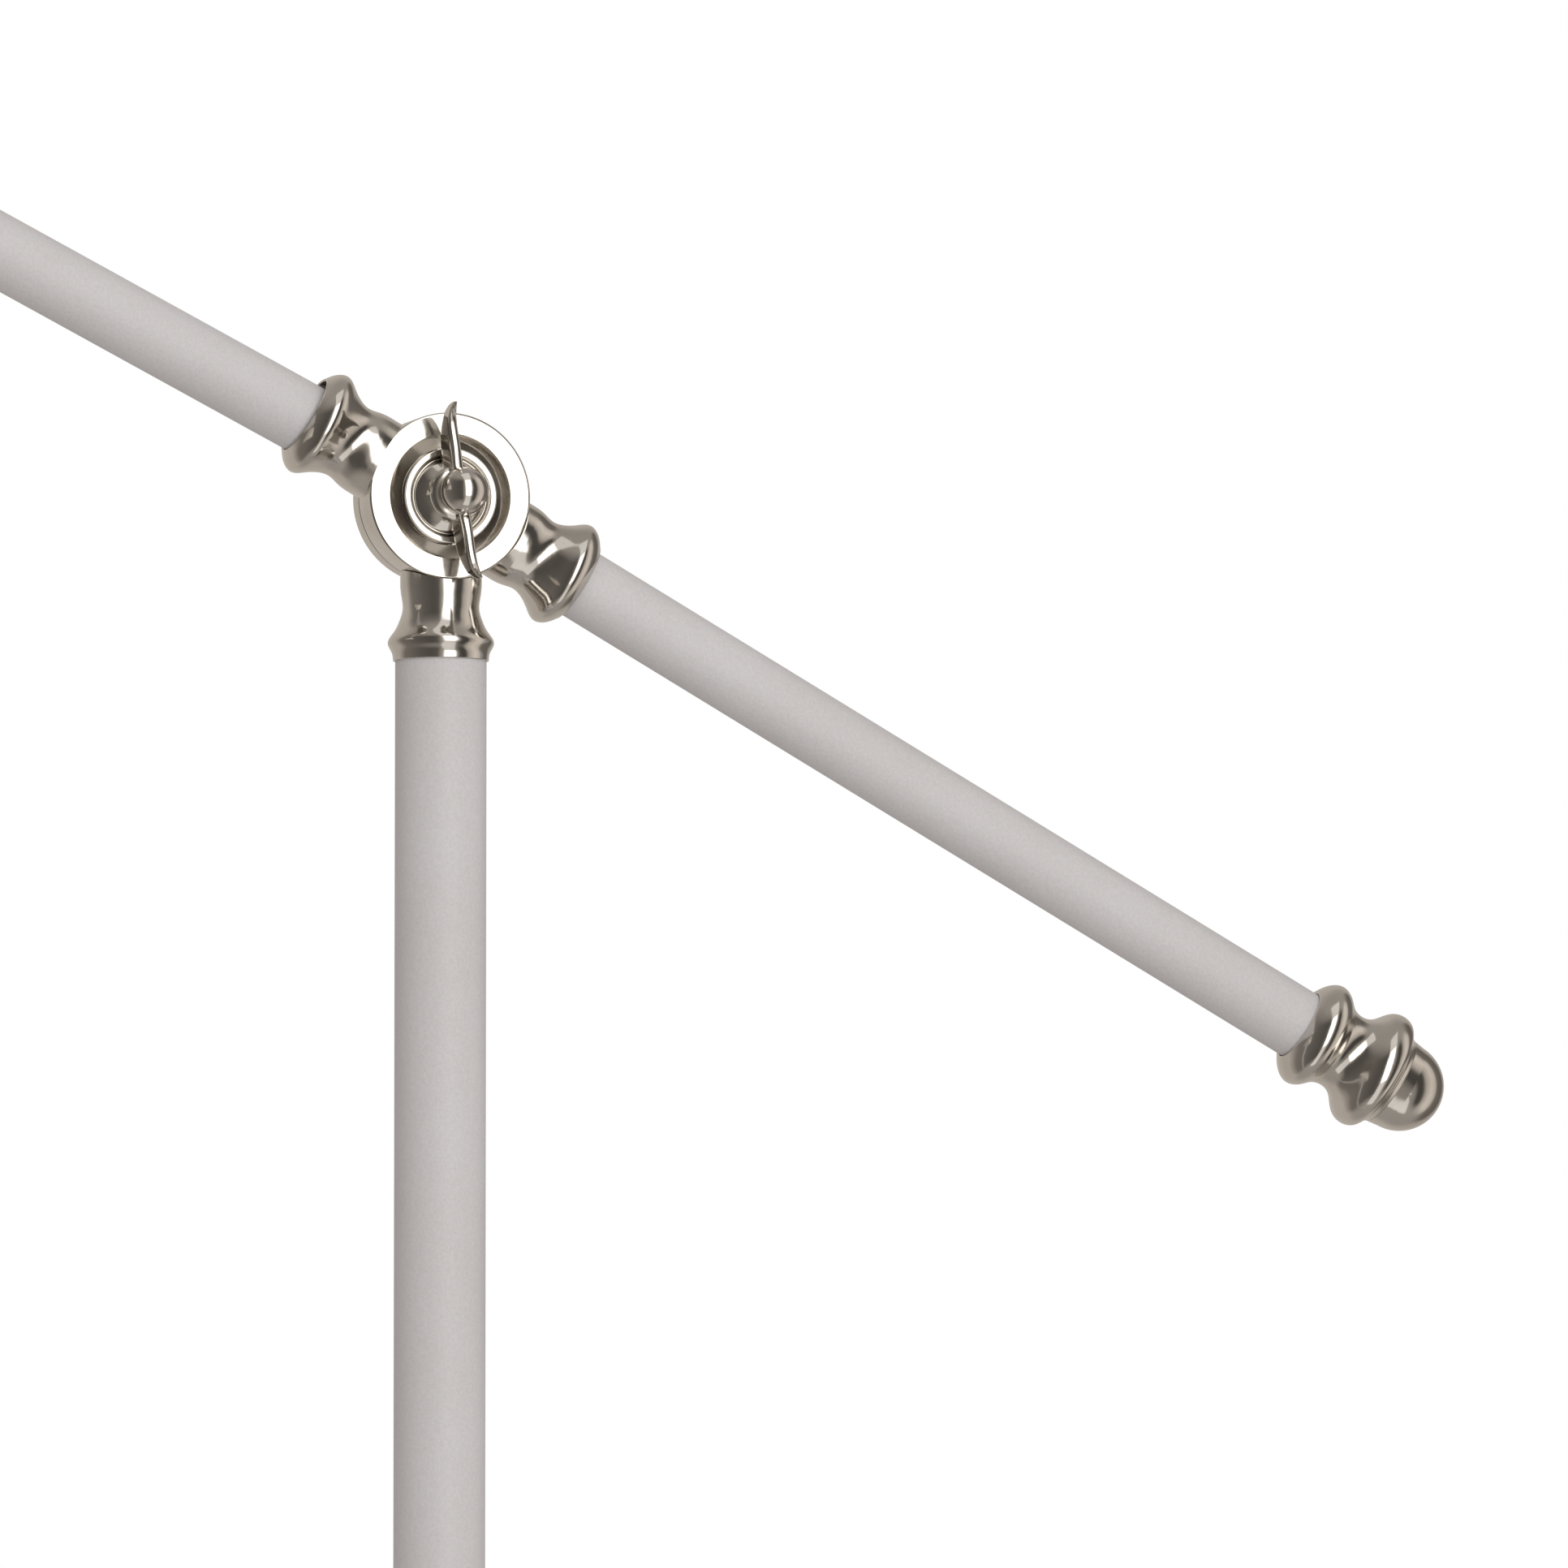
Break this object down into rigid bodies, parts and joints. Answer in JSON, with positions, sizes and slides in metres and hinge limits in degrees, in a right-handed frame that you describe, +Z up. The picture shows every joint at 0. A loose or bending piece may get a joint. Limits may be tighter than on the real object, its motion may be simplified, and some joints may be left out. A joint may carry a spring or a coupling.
{
  "type": "floor lamp",
  "caption": "Floor lamp with a round weighted base, a straight post and a counterbalanced arm that tilts on a wing-knob pivot, with a turned finial and a hanging fabric shade.",
  "frame": {"origin": "centre of the base's underside, on the post's axis", "axes": "+Z up along the post; -X towards the lamp head, +X towards the tail finial; -Y the front, where the wing knob is"},
  "size_m": [1.1366, 0.3052, 1.6725],
  "materials": {
    "nickel": "polished",
    "grey_paint": "satin",
    "cast_iron": "matte",
    "base_felt": "matte",
    "steel": "satin",
    "fibre": "matte",
    "black_plastic": "satin",
    "holder_plastic": "satin",
    "brass": "satin",
    "shade_linen": "matte",
    "opal_glass": "satin",
    "lead_sheath": "satin"
  },
  "bodies": {
    "post": {"base_pad": "base_felt", "base_cover": "grey_paint", "base_weight": "cast_iron", "cord_grommet": "black_plastic", "base_washer": "steel", "base_nut": "steel", "base_stud": "steel", "post_insert": "steel", "post_foot": "nickel", "post_lower_tube": "grey_paint", "post_upper_tube": "grey_paint", "coupling_nipple": "steel", "post_coupling": "nickel", "post_knuckle": "nickel", "post_grub_screw": "steel", "pivot_bolt": "steel", "friction_washer": "fibre", "pivot_cap": "nickel", "post_lead": "lead_sheath"},
    "arm": {"arm_knuckle": "nickel", "arm_grub_screws": "steel", "tail_tube": "grey_paint", "tail_counterweight": "steel", "finial_collar": "nickel", "finial_dome": "nickel", "finial_stud": "steel", "head_tube": "grey_paint", "head_knuckle": "nickel", "arm_lead": "lead_sheath"},
    "clamp": {"clamp_washer": "steel"},
    "knob": {"wing_knob": "nickel"},
    "head": {"head_hanger": "nickel", "head_friction_washer": "fibre", "head_pivot_screw": "nickel", "head_cap_nut": "nickel", "hanger_rod": "nickel", "socket_cup": "nickel", "lampholder_body": "holder_plastic", "lampholder_shell": "brass", "centre_contact": "brass", "shade_ring_nut": "holder_plastic", "bulb_cap": "brass", "bulb_globe": "opal_glass", "shade": "shade_linen", "shade_spider": "steel", "shade_bottom_ring": "steel"},
    "key": {"switch_key": "nickel"}
  },
  "joints": [
    {"name": "arm_tilt", "type": "hinge", "parent": "post", "child": "arm", "pos_m": [0, 0, 1.32], "axis": [0, 1, 0], "range_deg": [-60, 2]},
    {"name": "clamp_travel", "type": "slide", "parent": "arm", "child": "clamp", "axis": [0, -1, 0], "range_m": [0, 0.00156]},
    {"name": "knob_turn", "type": "hinge", "parent": "clamp", "child": "knob", "pos_m": [0, -0.02, 1.32], "axis": [0, -1, 0], "range_deg": [0, 450]},
    {"name": "head_tilt", "type": "hinge", "parent": "arm", "child": "head", "pos_m": [-0.66108, 0, 1.65247], "axis": [0, 1, 0], "range_deg": [-12, 65]},
    {"name": "switch_turn", "type": "hinge", "parent": "head", "child": "key", "pos_m": [-0.66108, -0.03, 1.55246], "axis": [0, -1, 0], "range_deg": [0, 90]}
  ],
  "couplings": [
    {"joint": "knob_turn", "follows": "clamp_travel", "rad_per_m": 5026.5}
  ]
}
